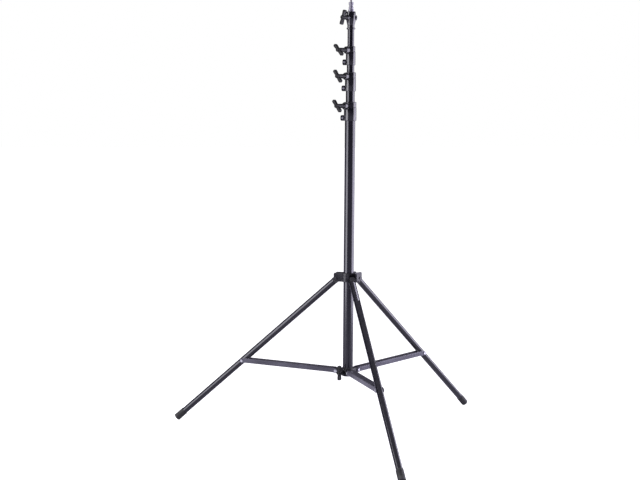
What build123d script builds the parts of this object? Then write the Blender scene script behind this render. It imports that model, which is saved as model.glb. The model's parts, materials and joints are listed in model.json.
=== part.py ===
from build123d import *

import math
import os

# Four-section telescopic lighting stand on a folding three-leg base.
# Millimetres, +Z up, floor at Z = 0, front leg along -Y.
# Azimuths are degrees round the column from the front leg, towards +X.

# ---- leg linkage -------------------------------------------------------
leg_length = 793.0          # leg pivot to the end of the rubber foot
brace_joint = 459.0         # leg pivot to the rivet that carries the brace
brace_length = 342.6        # between the two brace pivots
spread_spacing = 320.0      # leg pivots above brace pivots, legs spread
pivot_radius = 40.0         # both sets of pivots from the column axis
folded_leg_angle = 4.0      # legs from vertical when folded
foot_flat = 0.8             # depth of the flat on each foot

# ---- tubes -------------------------------------------------------------
base_radius = 17.5
base_wall = 1.5
riser_radii = (15.0, 12.5, 11.0)
riser_walls = (1.2, 1.0, 1.0)
riser_travel = 830.0        # each riser's stroke, kept inside the tube below it
base_length = 919.0
riser_step = 99.0           # base tube top to the first riser's top
riser_step_2 = 87.0         # first riser's top to the second riser's top
riser_step_3 = 124.0        # second riser's top to the third riser's top
leg_radius = 11.0
leg_wall = 1.2

# ---- clearances --------------------------------------------------------
fit = 0.05                  # radial, running and seated fits
gap = 0.3                   # between separate bodies that don't bear

# ---- base tube end, pistons and seals ----------------------------------
plug_height = 9.0
piston_height = 10.0
piston_spigot = 20.0
piston_bore = 4.0
seal_section = 1.1
stack_gap = 3.0             # between one piston and the next

# ---- braces ------------------------------------------------------------
brace_wall = 1.5
brace_side_gap = 0.5        # flange to leg
brace_rise = 10.3           # top of the web above its pivots
brace_drop = 6.0            # flange below its pivots
brace_lobe = 7.5            # rounded flange ends
brace_notch_leg = 36.0      # web kept clear of the leg
brace_notch_collar = 14.0   # web kept clear of the collar
brace_bend = 2.0

# ---- pivots ------------------------------------------------------------
bolt_radius = 3.0
bolt_head_radius = 4.7
bolt_head = 2.4
bolt_dome = 1.2
nut_width = 10.0
nut_height = 3.6

# ---- lower collar ------------------------------------------------------
lower_above = 12.5
lower_below = 16.5
lower_ring = 4.0
lower_bevel = 2.5
lug_radius = 8.5
lug_root = 6.0              # lug's foot beyond the ring
lug_slope = 0.8             # share of the lug's radius where its foot ends
lug_foot = 0.6              # and how far below the pivot
lower_boss = 8.5
lower_boss_reach = 6.0
lower_knob_drop = 2.0       # knob below the brace pivots

# ---- leg hub -----------------------------------------------------------
hub_above = 20.5
hub_below = 9.5
hub_ring = 5.5
hub_bush_wall = 2.0
cheek = 4.2
cheek_reach = 8.8           # cheek beyond its pivot
cheek_corner = 3.0

# ---- leg ends ----------------------------------------------------------
eye_radius = 11.0
eye_flat = 20.0             # width across the eye's flats
eye_neck = 14.0             # pivot to the start of the leg tube
insert_length = 32.0
foot_wall = 1.5
foot_length = 40.0
foot_end = 5.0
foot_edge = 0.8
eye_edge = 1.5

# ---- tube collars ------------------------------------------------------
collar_names = ("c", "b", "a")
collar_body_walls = (3.6, 3.4, 3.6)
collar_ring_walls = (3.0, 3.0, 2.6)
collar_body_height = 45.0
collar_ring_height = 18.0
collar_lip = 3.0
collar_split = 2.0
collar_bevel = 1.2
ear_azimuth = 255.0
ear_reach = 11.5
ear_width = 14.0
ear_height = 19.0
ear_corner = 5.0
ear_screw_out = 5.2         # cross screw beyond the collar's wall
ear_screw_radius = 2.0
ear_head_radius = 3.8
ear_head = 3.0
ear_head_dome = 1.4
ear_socket = 2.0            # hexagon socket, across its corners / 2
ear_socket_depth = 1.6
ear_nut_radius = 4.0
ear_nut = 3.0
boss_width = 17.0
boss_height = 24.0
boss_reach = 10.5
boss_edge = 1.5

# ---- T knobs -----------------------------------------------------------
knob_azimuth = 300.0
knob_rise = 4.5             # collar knobs above the collar's split
knob_span = 50.0
knob_grip = 11.5
knob_depth = 10.5
knob_neck = 26.0
knob_neck_top = 9.0
knob_neck_low = 7.2
knob_neck_radius = 7.8
knob_neck_taper = 0.8
knob_nose = 2.5             # round nose beyond the wings
knob_nose_edge = 2.0
knob_edge = 2.4
knob_tilts = {"knob_c": 131.0, "knob_b": 128.0, "knob_a": 136.0, "knob_top": 70.0, "knob_low": 90.0}
screw_radius = 3.0
screw_seat = 11.0           # screw end inside the knob

# ---- head of the stand -------------------------------------------------
head_height = 45.0
head_top_radius = 15.0
head_belly_radius = 16.2
head_belly_low = 18.0
head_belly_high = 31.0
head_foot_radius = 12.4
head_edge = 1.5
head_overlap = 36.0         # top tube inside the head
head_knob_drop = 20.5       # knob below the head's top
head_boss_radius = 8.5
head_boss_reach = 22.5      # from the axis
neck_height = 9.0
neck_radius = 12.0
flange_radius = 14.5
flange_height = 5.0
stud_collar_height = 6.5
stud_collar_radius = 9.5
stud_radius = 7.94          # five eighths of an inch across
stud_height = 25.0
stud_groove_radius = 6.4
stud_groove = 7.0
stud_shank_radius = 7.0     # pressed into the head
stud_bevel = 1.2
thread_radius = 3.175       # a quarter of an inch across
thread_height = 13.0
thread_bevel = 0.7
side_screw_azimuth = 75.0
side_boss_reach = 19.0      # from the axis
side_screw_radius = 5.5
side_screw_head = 1.8
side_screw_dome = 1.0
pin_azimuth = 327.0
pin_radius = 2.0
pin_proud = 0.6

# ---- worked out from the driving sizes ---------------------------------
spread_cos = (brace_joint**2 + spread_spacing**2 - brace_length**2) / (2 * brace_joint * spread_spacing)
leg_angle = math.acos(spread_cos)
brace_angle = math.asin((spread_spacing - brace_joint * spread_cos) / brace_length)
folded_leg = math.radians(folded_leg_angle)
folded_brace = math.acos(brace_joint * math.sin(folded_leg) / brace_length)
folded_spacing = brace_joint * math.cos(folded_leg) + brace_length * math.sin(folded_brace)
hub_travel = folded_spacing - spread_spacing

foot_radius = leg_radius + fit + foot_wall
foot_centre = foot_radius * math.sin(leg_angle) - foot_flat
hub_pivot = foot_centre + leg_length * math.cos(leg_angle)
collar_pivot = hub_pivot - spread_spacing
column_bottom = collar_pivot - lower_below
base_top = column_bottom + base_length
tops = (base_top + riser_step, base_top + riser_step + riser_step_2)
tops = tops + (tops[1] + riser_step_3,)
collar_seams = (base_top, tops[0], tops[1])
outer_radii = (base_radius, riser_radii[0], riser_radii[1])
bore_radii = (base_radius - base_wall, riser_radii[0] - riser_walls[0], riser_radii[1] - riser_walls[1])
brace_half = leg_radius + brace_side_gap + brace_wall
cheek_inner = leg_radius + brace_side_gap
leg_azimuths = {"front": 0.0, "right": 120.0, "left": 240.0}

os.makedirs("parts", exist_ok=True)
pieces = {}


def outward(azimuth):
    """Horizontal unit direction at an azimuth."""
    angle = math.radians(azimuth)
    return Vector(math.sin(angle), -math.cos(angle), 0)


def keep(name, part):
    """Label a finished piece and remember it for export."""
    part.label = name
    pieces[name] = part


def keep_three(name, part):
    """One copy of a leg-side piece for each leg."""
    for side, azimuth in leg_azimuths.items():
        keep(f"{name}_{side}", part.rotate(Axis.Z, azimuth))


def radial_plane(azimuth, reach, height):
    """Plane square to the column's radius: local Z outward, local Y up."""
    way = outward(azimuth)
    across = Vector(0, 0, 1).cross(way)
    return Plane(origin=way * reach + Vector(0, 0, height), x_dir=across, z_dir=way)


def sleeve(inner, outer, bottom, height):
    """Plain tube round the column axis."""
    with BuildPart() as tube:
        with BuildSketch(Plane.XY.offset(bottom)):
            Circle(outer)
            Circle(inner, mode=Mode.SUBTRACT)
        extrude(amount=height)
    return tube.part


# ---- column: base tube and its closed lower end ------------------------
keep("base_tube", sleeve(base_radius - base_wall, base_radius, column_bottom, base_length))

with BuildPart() as plug:
    with BuildSketch(Plane.XY.offset(column_bottom)):
        Circle(base_radius - base_wall - fit)
    extrude(amount=plug_height)
    with BuildSketch(Plane.XY.offset(column_bottom + plug_height)):
        Circle(base_radius - base_wall - fit - brace_wall)
    extrude(amount=-plug_height + brace_wall, mode=Mode.SUBTRACT)
keep("bottom_plug", plug.part)


# ---- risers: tube, piston and air seal ---------------------------------
def piston(bore, riser_bore, bottom):
    """Guide piston under a riser, with a spigot up into it."""
    outer = bore - 2 * fit
    groove = bottom + piston_height / 2
    with BuildPart() as body:
        with BuildSketch(Plane.XY.offset(bottom)):
            Circle(outer)
        extrude(amount=piston_height)
        with BuildSketch(Plane.XY.offset(bottom + piston_height)):
            Circle(riser_bore - fit)
        extrude(amount=piston_spigot)
        with BuildSketch(Plane.XY.offset(groove - seal_section - fit)):
            Circle(outer)
            Circle(outer - 2 * seal_section, mode=Mode.SUBTRACT)
        extrude(amount=2 * (seal_section + fit), mode=Mode.SUBTRACT)
        with BuildSketch(Plane.XY.offset(bottom)):
            Circle(piston_bore / 2)
        extrude(amount=piston_height + piston_spigot, mode=Mode.SUBTRACT)
    return body.part


def air_seal(bore, bottom):
    """Rubber ring that lies in the piston's groove."""
    centre = bore - 2 * fit - seal_section
    with BuildPart() as ring:
        with BuildSketch(Plane.XZ):
            with Locations((centre, bottom + piston_height / 2)):
                Circle(seal_section - fit)
        revolve(axis=Axis.Z)
    return ring.part


piston_bottom = column_bottom + plug_height + stack_gap
for number in range(3):
    riser_radius = riser_radii[number]
    riser_bore = riser_radius - riser_walls[number]
    riser_bottom = piston_bottom + piston_height
    label = f"riser_{number + 1}"
    keep(f"{label}_tube", sleeve(riser_bore, riser_radius, riser_bottom, tops[number] - riser_bottom))
    keep(f"{label}_piston", piston(bore_radii[number], riser_bore, piston_bottom))
    keep(f"{label}_seal", air_seal(bore_radii[number], piston_bottom))
    piston_bottom = riser_bottom + piston_spigot + stack_gap


# ---- tube collars: split body, clamp ring, bush and fasteners ----------
def collar_body(tube_radius, wall, seam):
    """Split casting gripped round the top of a tube by one cross screw."""
    radius = tube_radius + wall
    bottom = seam - collar_body_height
    ear_end = radius + ear_reach
    way = outward(ear_azimuth)
    across = Vector(0, 0, 1).cross(way)
    side = Plane(origin=Vector(0, 0, bottom), x_dir=way, z_dir=across)
    with BuildPart() as body:
        with BuildSketch(Plane.XY.offset(bottom)):
            Circle(radius)
        extrude(amount=collar_body_height)
        chamfer(body.edges().filter_by(GeomType.CIRCLE), length=collar_bevel)
        with BuildSketch(side):
            with Locations((ear_end / 2, -ear_height / 2)):
                RectangleRounded(ear_end, ear_height, ear_corner)
        extrude(amount=ear_width / 2, both=True)
        with BuildSketch(Plane.XY.offset(bottom)):
            Circle(tube_radius + fit)
        extrude(amount=collar_body_height, mode=Mode.SUBTRACT)
        with BuildSketch(side):
            with Locations((ear_end / 2, -collar_body_height / 2)):
                Rectangle(ear_end, collar_body_height)
        extrude(amount=collar_split / 2, both=True, mode=Mode.SUBTRACT)
        with BuildSketch(side):
            with Locations((radius + ear_screw_out, -ear_height / 2)):
                Circle(ear_screw_radius + fit)
        extrude(amount=ear_width / 2, both=True, mode=Mode.SUBTRACT)
    return body.part


def ear_fasteners(tube_radius, wall, seam):
    """Cross screw with a domed head, and its hexagon nut."""
    radius = tube_radius + wall
    bottom = seam - collar_body_height
    way = outward(ear_azimuth)
    across = Vector(0, 0, 1).cross(way)
    centre = way * (radius + ear_screw_out) + Vector(0, 0, bottom + ear_height / 2)
    head_face = Plane(origin=centre - across * (ear_width / 2), x_dir=way, z_dir=-across)
    nut_face = Plane(origin=centre + across * (ear_width / 2), x_dir=way, z_dir=across)
    with BuildPart() as screw:
        with BuildSketch(head_face):
            Circle(ear_head_radius)
        extrude(amount=ear_head)
        crown = screw.faces().sort_by(Axis(head_face.origin, head_face.z_dir))[-1]
        fillet(crown.edges(), radius=ear_head_dome)
        with BuildSketch(head_face):
            Circle(ear_screw_radius)
        extrude(amount=-ear_width - ear_nut)
        with BuildSketch(head_face.offset(ear_head)):
            RegularPolygon(ear_socket, 6)
        extrude(amount=-ear_socket_depth, mode=Mode.SUBTRACT)
    with BuildPart() as nut:
        with BuildSketch(nut_face):
            RegularPolygon(ear_nut_radius, 6)
            Circle(ear_screw_radius + fit, mode=Mode.SUBTRACT)
        extrude(amount=ear_nut)
    return Compound(children=[screw.part, nut.part])


def clamp_ring(tube_radius, riser_radius, wall, body_wall, seam):
    """Ring over the tube end, with an upright boss for the knob's screw."""
    radius = tube_radius + wall
    level = seam + knob_rise
    with BuildPart() as ring:
        with BuildSketch(radial_plane(knob_azimuth, 0, level)):
            SlotOverall(boss_height, boss_width, rotation=90)
        extrude(amount=radius + boss_reach)
        boss_front = ring.faces().sort_by(Axis((0, 0, level), outward(knob_azimuth)))[-1]
        fillet(boss_front.edges(), radius=boss_edge)
        with BuildSketch(Plane.XY.offset(seam)):
            Circle(tube_radius + body_wall + gap)
        extrude(amount=-boss_height, mode=Mode.SUBTRACT)
        with BuildSketch(Plane.XY.offset(seam)):
            Circle(radius)
        extrude(amount=collar_ring_height)
        top_rim = ring.edges().filter_by(GeomType.CIRCLE).group_by(Axis.Z)[-1]
        chamfer(top_rim, length=collar_bevel)
        with BuildSketch(Plane.XY.offset(seam)):
            Circle(tube_radius + fit)
        extrude(amount=collar_ring_height - collar_lip, mode=Mode.SUBTRACT)
        with BuildSketch(Plane.XY.offset(seam)):
            Circle(riser_radius + gap)
        extrude(amount=collar_ring_height, mode=Mode.SUBTRACT)
        with BuildSketch(radial_plane(knob_azimuth, 0, level)):
            Circle(screw_radius + fit)
        extrude(amount=radius + boss_reach, mode=Mode.SUBTRACT)
    return ring.part


def collar_bush(tube_radius, riser_radius, seam):
    """Nylon guide bush that stands on the tube end inside the clamp ring."""
    with BuildPart() as bush:
        with BuildSketch(Plane.XY.offset(seam)):
            Circle(tube_radius)
            Circle(riser_radius + fit, mode=Mode.SUBTRACT)
        extrude(amount=collar_ring_height - collar_lip)
        with BuildSketch(radial_plane(knob_azimuth, 0, seam + knob_rise)):
            Circle(screw_radius + fit)
        extrude(amount=tube_radius + fit, mode=Mode.SUBTRACT)
    return bush.part


# ---- T knobs and their screws ------------------------------------------
def knob_and_screw(name, tip, boss_face, height, neck):
    """T-shaped knob moulded on a clamping screw that points at the axis."""
    neck_face = boss_face + gap
    wing_face = neck_face + neck
    nose_face = wing_face + knob_depth + knob_nose
    screw_axis = Axis((0, 0, height), outward(knob_azimuth))
    with BuildPart() as knob:
        with BuildSketch(radial_plane(knob_azimuth, wing_face, height)):
            SlotOverall(knob_span, knob_grip, rotation=knob_tilts[name])
        extrude(amount=knob_depth)
        wing_rim = knob.faces().sort_by(screw_axis)[-1]
        fillet(wing_rim.edges(), radius=knob_edge)
        with BuildSketch(radial_plane(knob_azimuth, neck_face, height)):
            Circle(knob_neck_radius)
        with BuildSketch(radial_plane(knob_azimuth, nose_face, height)):
            Circle(knob_neck_radius - knob_neck_taper)
        loft()
        nose = knob.faces().sort_by(screw_axis)[-1]
        fillet(nose.edges(), radius=knob_nose_edge)
        with BuildSketch(radial_plane(knob_azimuth, neck_face, height)):
            Circle(screw_radius + fit)
        extrude(amount=screw_seat, mode=Mode.SUBTRACT)
    keep(name, knob.part)
    with BuildPart() as screw:
        with BuildSketch(radial_plane(knob_azimuth, tip, height)):
            Circle(screw_radius)
        extrude(amount=neck_face + screw_seat - tip)
    keep(f"{name}_screw", screw.part)


for number, letter in enumerate(collar_names):
    tube_radius = outer_radii[number]
    seam = collar_seams[number]
    riser_radius = riser_radii[number]
    ring_wall = collar_ring_walls[number]
    body_wall = collar_body_walls[number]
    keep(f"collar_{letter}", collar_body(tube_radius, body_wall, seam))
    keep(f"collar_{letter}_screw", ear_fasteners(tube_radius, body_wall, seam))
    keep(f"clamp_ring_{letter}", clamp_ring(tube_radius, riser_radius, ring_wall, body_wall, seam))
    keep(f"collar_{letter}_bush", collar_bush(tube_radius, riser_radius, seam))
    boss_face = tube_radius + ring_wall + boss_reach
    knob_and_screw(f"knob_{letter}", riser_radius + gap, boss_face, seam + knob_rise, knob_neck)


# ---- head: cap, trim flange, stud and screws ---------------------------
top_radius = riser_radii[2]
head_bottom = tops[2] - head_overlap
head_top = head_bottom + head_height
knob_level = head_top - head_knob_drop

with BuildPart() as head:
    with BuildSketch(Plane.XZ):
        with BuildLine():
            Polyline(
                (0, head_bottom),
                (head_foot_radius, head_bottom),
                (head_belly_radius, head_bottom + head_belly_low),
                (head_belly_radius, head_bottom + head_belly_high),
                (head_top_radius, head_top),
                (0, head_top),
                close=True,
            )
        make_face()
    revolve(axis=Axis.Z)
    fillet(head.edges().filter_by(GeomType.CIRCLE).group_by(Axis.Z)[-1], radius=head_edge)
    with BuildSketch(radial_plane(knob_azimuth, 0, knob_level)):
        Circle(head_boss_radius)
    extrude(amount=head_boss_reach)
    with BuildSketch(radial_plane(side_screw_azimuth, 0, knob_level)):
        Circle(head_boss_radius)
    extrude(amount=side_boss_reach)
    with BuildSketch(Plane.XY.offset(head_bottom)):
        Circle(top_radius + fit)
    extrude(amount=head_overlap, mode=Mode.SUBTRACT)
    with BuildSketch(Plane.XY.offset(tops[2])):
        Circle(stud_shank_radius + fit)
    extrude(amount=head_top - tops[2], mode=Mode.SUBTRACT)
    with BuildSketch(radial_plane(knob_azimuth, 0, knob_level)):
        Circle(screw_radius + fit)
    extrude(amount=head_boss_reach, mode=Mode.SUBTRACT)
    with BuildSketch(radial_plane(pin_azimuth, 0, knob_level)):
        Circle(pin_radius + fit)
    extrude(amount=head_boss_reach, mode=Mode.SUBTRACT)
keep("head_cap", head.part)

neck_bottom = head_bottom - neck_height
keep("head_neck", sleeve(top_radius + fit, neck_radius, neck_bottom, neck_height))
flange_bottom = neck_bottom - flange_height
keep("riser_3_flange", sleeve(top_radius + fit, flange_radius, flange_bottom, flange_height))

with BuildPart() as stud:
    with BuildSketch(Plane.XY.offset(tops[2])):
        Circle(stud_shank_radius)
    extrude(amount=head_top - tops[2])
    with BuildSketch(Plane.XY.offset(head_top)):
        Circle(stud_collar_radius)
    extrude(amount=stud_collar_height)
    with BuildSketch(Plane.XY.offset(head_top + stud_collar_height)):
        Circle(stud_radius)
    extrude(amount=stud_height)
    chamfer(stud.edges().filter_by(GeomType.CIRCLE).group_by(Axis.Z)[-1], length=stud_bevel)
    with BuildSketch(Plane.XY.offset(head_top + stud_collar_height + (stud_height - stud_groove) / 2)):
        Circle(stud_radius)
        Circle(stud_groove_radius, mode=Mode.SUBTRACT)
    extrude(amount=stud_groove, mode=Mode.SUBTRACT)
    with BuildSketch(Plane.XY.offset(head_top + stud_collar_height + stud_height)):
        Circle(thread_radius)
    extrude(amount=thread_height)
    chamfer(stud.edges().filter_by(GeomType.CIRCLE).group_by(Axis.Z)[-1], length=thread_bevel)
keep("stud", stud.part)

knob_and_screw("knob_top", top_radius + gap, head_boss_reach, knob_level, knob_neck_top)

with BuildPart() as side_screw:
    with BuildSketch(radial_plane(side_screw_azimuth, side_boss_reach, knob_level)):
        Circle(side_screw_radius)
    extrude(amount=side_screw_head)
    crown = side_screw.faces().sort_by(Axis((0, 0, knob_level), outward(side_screw_azimuth)))[-1]
    fillet(crown.edges(), radius=side_screw_dome)
with BuildPart() as pin:
    with BuildSketch(radial_plane(pin_azimuth, top_radius + gap, knob_level)):
        Circle(pin_radius)
    extrude(amount=head_belly_radius + pin_proud - top_radius - gap)
keep("head_side_screw", Compound(children=[side_screw.part, pin.part]))


# ---- leg hub: ring, cheeks, bush and pivot bolts -----------------------
hub_inner = base_radius + fit + hub_bush_wall
hub_outer = hub_inner + hub_ring
hub_low = hub_pivot - hub_below
hub_height = hub_above + hub_below
hub_reach = pivot_radius + cheek_reach


def side_plane(azimuth, height):
    """Upright plane through the axis: local X outward, local Y up."""
    way = outward(azimuth)
    return Plane(origin=(0, 0, height), x_dir=way, z_dir=way.cross(Vector(0, 0, 1)))


with BuildPart() as hub:
    for azimuth in leg_azimuths.values():
        with BuildSketch(side_plane(azimuth, hub_pivot)):
            with BuildLine():
                Polyline(
                    (0, -hub_below),
                    (pivot_radius, -hub_below),
                    (hub_reach, -cheek_corner),
                    (hub_reach, hub_above - cheek_corner),
                    (hub_reach - cheek_corner, hub_above),
                    (0, hub_above),
                    close=True,
                )
            make_face()
        extrude(amount=cheek_inner + cheek, both=True)
    for azimuth in leg_azimuths.values():
        with BuildSketch(side_plane(azimuth, hub_pivot)):
            with Locations((hub_outer + hub_reach / 2, 0)):
                Rectangle(hub_reach, 3 * hub_reach)
        extrude(amount=cheek_inner, both=True, mode=Mode.SUBTRACT)
        with BuildSketch(side_plane(azimuth, hub_pivot)):
            with Locations((pivot_radius, 0)):
                Circle(bolt_radius + fit)
        extrude(amount=cheek_inner + cheek, both=True, mode=Mode.SUBTRACT)
    with BuildSketch(Plane.XY.offset(hub_low)):
        Circle(hub_outer)
    extrude(amount=hub_height)
    with BuildSketch(Plane.XY.offset(hub_low)):
        Circle(hub_inner)
    extrude(amount=hub_height, mode=Mode.SUBTRACT)
keep("leg_hub", hub.part)
keep("hub_bush", sleeve(base_radius + fit, hub_inner, hub_low, hub_height))


def headed_stub(side, azimuth, reach, height, seat, inner):
    """Domed bolt head outside a wall, its shank ending inside the wall."""
    face = side_plane(azimuth, height).offset(side * seat)
    with BuildPart() as bolt:
        with BuildSketch(face):
            with Locations((reach, 0)):
                Circle(bolt_head_radius)
        extrude(amount=side * bolt_head)
        outer_end = bolt.faces().sort_by(Axis(face.origin, face.z_dir * side))[-1]
        fillet(outer_end.edges(), radius=bolt_dome)
        with BuildSketch(face):
            with Locations((reach, 0)):
                Circle(bolt_radius)
        extrude(amount=-side * (seat - inner))
    return bolt.part


def hexagon_nut(azimuth, reach, height, seat):
    """Plain nut on a bolt's far end."""
    with BuildPart() as nut:
        with BuildSketch(side_plane(azimuth, height).offset(-seat)):
            with Locations((reach, 0)):
                RegularPolygon(nut_width / 2, 6, major_radius=False)
                Circle(bolt_radius + fit, mode=Mode.SUBTRACT)
        extrude(amount=-nut_height)
    return nut.part


hub_bolts = []
for azimuth in leg_azimuths.values():
    for side in (1, -1):
        seat = cheek_inner + cheek
        hub_bolts.append(headed_stub(side, azimuth, pivot_radius, hub_pivot, seat, cheek_inner))
keep("hub_bolts", Compound(children=hub_bolts))


# ---- lower collar: ring, lugs, knob boss and pivot bolts ---------------
lower_outer = base_radius + fit + lower_ring
lug_half = cheek_inner - gap
lower_knob_height = collar_pivot - lower_knob_drop
lower_boss_face = lower_outer + lower_boss_reach

with BuildPart() as lower:
    with BuildSketch(Plane.XY.offset(column_bottom)):
        Circle(lower_outer)
    extrude(amount=lower_above + lower_below)
    chamfer(lower.edges().filter_by(GeomType.CIRCLE), length=lower_bevel)
    for azimuth in leg_azimuths.values():
        with BuildSketch(side_plane(azimuth, collar_pivot)):
            with BuildLine():
                Polyline(
                    (0, -lower_below + lower_bevel),
                    (lower_outer + lug_root, -lower_below + lower_bevel),
                    (pivot_radius + lug_radius * lug_slope, -lug_radius * lug_foot),
                    (pivot_radius, lug_radius),
                    (0, lug_radius),
                    close=True,
                )
            make_face()
            with Locations((pivot_radius, 0)):
                Circle(lug_radius)
        extrude(amount=lug_half, both=True)
    with BuildSketch(radial_plane(knob_azimuth, 0, lower_knob_height)):
        Circle(lower_boss)
    extrude(amount=lower_boss_face)
    with BuildSketch(Plane.XY.offset(column_bottom)):
        Circle(base_radius + fit)
    extrude(amount=lower_above + lower_below, mode=Mode.SUBTRACT)
    for azimuth in leg_azimuths.values():
        with BuildSketch(side_plane(azimuth, collar_pivot)):
            with Locations((pivot_radius, 0)):
                Circle(bolt_radius + fit)
        extrude(amount=lug_half, both=True, mode=Mode.SUBTRACT)
    with BuildSketch(radial_plane(knob_azimuth, 0, lower_knob_height)):
        Circle(screw_radius + fit)
    extrude(amount=lower_boss_face, mode=Mode.SUBTRACT)
keep("lower_collar", lower.part)
knob_and_screw("knob_low", base_radius + gap, lower_boss_face, lower_knob_height, knob_neck_low)

bolt_seat = brace_half + gap
brace_bolts = []
brace_nuts = []
for azimuth in leg_azimuths.values():
    shank_end = -bolt_seat - nut_height
    brace_bolts.append(headed_stub(1, azimuth, pivot_radius, collar_pivot, bolt_seat, shank_end))
    brace_nuts.append(hexagon_nut(azimuth, pivot_radius, collar_pivot, bolt_seat))
keep("brace_bolts", Compound(children=brace_bolts))
keep("brace_nuts", Compound(children=brace_nuts))


# ---- braces: pressed channels and their leg rivets ---------------------
brace_way = Vector(0, -math.cos(brace_angle), math.sin(brace_angle))
brace_origin = Vector(0, -pivot_radius, collar_pivot)
brace_side = Plane(origin=brace_origin, x_dir=brace_way, z_dir=(-1, 0, 0))
brace_inner = brace_half - brace_wall
web_inner = brace_rise - brace_wall

with BuildPart() as brace:
    with BuildSketch(brace_side):
        with BuildLine():
            Polyline(
                (0, -brace_lobe),
                (2 * brace_lobe, -brace_drop),
                (brace_length - 2 * brace_lobe, -brace_drop),
                (brace_length, -brace_lobe),
                (brace_length, brace_lobe),
                (brace_length - brace_rise, brace_rise),
                (brace_rise / 2, brace_rise),
                (0, brace_lobe),
                close=True,
            )
        make_face()
        with Locations((0, 0), (brace_length, 0)):
            Circle(brace_lobe)
    extrude(amount=brace_half, both=True)
    top_edges = brace.edges().filter_by(lambda edge: edge.length > brace_length / 2)
    fillet(top_edges.sort_by(Axis.Z)[-2:], radius=brace_bend)
    with BuildSketch(brace_side):
        with Locations((brace_length / 2, web_inner - brace_length / 2)):
            Rectangle(2 * brace_length, brace_length)
    extrude(amount=brace_inner, both=True, mode=Mode.SUBTRACT)
    with BuildSketch(brace_side):
        with Locations((brace_notch_collar - brace_length / 2, 0)):
            Rectangle(brace_length, brace_length)
        with Locations((1.5 * brace_length - brace_notch_leg, 0)):
            Rectangle(brace_length, brace_length)
    extrude(amount=brace_inner, both=True, mode=Mode.SUBTRACT)
    with BuildSketch(brace_side):
        with Locations((0, 0), (brace_length, 0)):
            Circle(bolt_radius + fit)
    extrude(amount=brace_half, both=True, mode=Mode.SUBTRACT)
keep_three("brace", brace.part)

with BuildPart() as rivet:
    with BuildSketch(brace_side.offset(-brace_half - bolt_head)):
        with Locations((brace_length, 0)):
            Circle(bolt_head_radius)
    extrude(amount=bolt_head)
    with BuildSketch(brace_side.offset(brace_half)):
        with Locations((brace_length, 0)):
            Circle(bolt_head_radius)
    extrude(amount=bolt_head)
    ends = rivet.faces().sort_by(Axis.X)
    fillet(ends[0].edges() + ends[-1].edges(), radius=bolt_dome)
    with BuildSketch(brace_side.offset(-brace_half)):
        with Locations((brace_length, 0)):
            Circle(bolt_radius)
    extrude(amount=2 * brace_half)
keep_three("leg_rivet", rivet.part)


# ---- legs: tube, moulded eye and rubber foot ---------------------------
leg_way = Vector(0, -math.sin(leg_angle), -math.cos(leg_angle))
leg_origin = Vector(0, -pivot_radius, hub_pivot)
leg_plane = Plane(origin=leg_origin, x_dir=(1, 0, 0), z_dir=leg_way)
leg_side = Plane(origin=leg_origin, x_dir=leg_way, z_dir=(-1, 0, 0))
leg_bore = leg_radius - leg_wall
tube_end = leg_length - foot_end

with BuildPart() as leg:
    with BuildSketch(leg_plane.offset(eye_neck)):
        Circle(leg_radius)
        Circle(leg_bore, mode=Mode.SUBTRACT)
    extrude(amount=tube_end - eye_neck)
    with BuildSketch(leg_side):
        with Locations((brace_joint, 0)):
            Circle(bolt_radius + fit)
    extrude(amount=leg_radius, both=True, mode=Mode.SUBTRACT)
keep_three("leg_tube", leg.part)

with BuildPart() as eye:
    with BuildSketch(leg_side):
        Circle(eye_radius)
        with Locations((eye_neck / 2, 0)):
            Rectangle(eye_neck, 2 * eye_radius)
        Circle(bolt_radius + fit, mode=Mode.SUBTRACT)
    extrude(amount=eye_flat / 2, both=True)
    round_edges = eye.edges().filter_by(GeomType.CIRCLE)
    fillet(round_edges.filter_by(lambda edge: edge.radius > eye_radius - fit), radius=eye_edge)
    with BuildSketch(leg_plane.offset(eye_neck)):
        Circle(leg_bore - fit)
    extrude(amount=insert_length)
keep_three("leg_eye", eye.part)

with BuildPart() as foot:
    with BuildSketch(leg_plane.offset(leg_length - foot_length)):
        Circle(foot_radius)
    extrude(amount=foot_length)
    fillet(foot.edges().filter_by(GeomType.CIRCLE).sort_by(Axis.Z)[-1], radius=foot_edge)
    with BuildSketch(leg_plane.offset(leg_length - foot_length)):
        Circle(leg_radius + fit)
    extrude(amount=foot_length - foot_end, mode=Mode.SUBTRACT)
    with BuildSketch(Plane.XY):
        with Locations((0, -pivot_radius - leg_length)):
            Rectangle(3 * leg_length, 3 * leg_length)
    extrude(amount=-4 * foot_radius, mode=Mode.SUBTRACT)
keep_three("foot", foot.part)


# ---- origin at the middle of the footprint, then export ----------------
front = pieces["foot_front"].bounding_box().min.Y
back = pieces["foot_left"].bounding_box().max.Y
axis_shift = -(front + back) / 2

for name, part in pieces.items():
    placed = part.moved(Location((0, axis_shift, 0)))
    placed.label = name
    export_step(placed, f"parts/{name}.step")

print(f"pieces {len(pieces)}  axis shift {axis_shift:.3f}")
print(f"leg {math.degrees(leg_angle):.4f}  brace {math.degrees(brace_angle):.4f}  hub travel {hub_travel:.3f}")
print(f"hub pivot {hub_pivot:.3f}  collar pivot {collar_pivot:.3f}  tops {tops}")
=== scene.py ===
import json
import math

import bmesh
import bpy
from mathutils import Matrix, Vector


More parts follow.
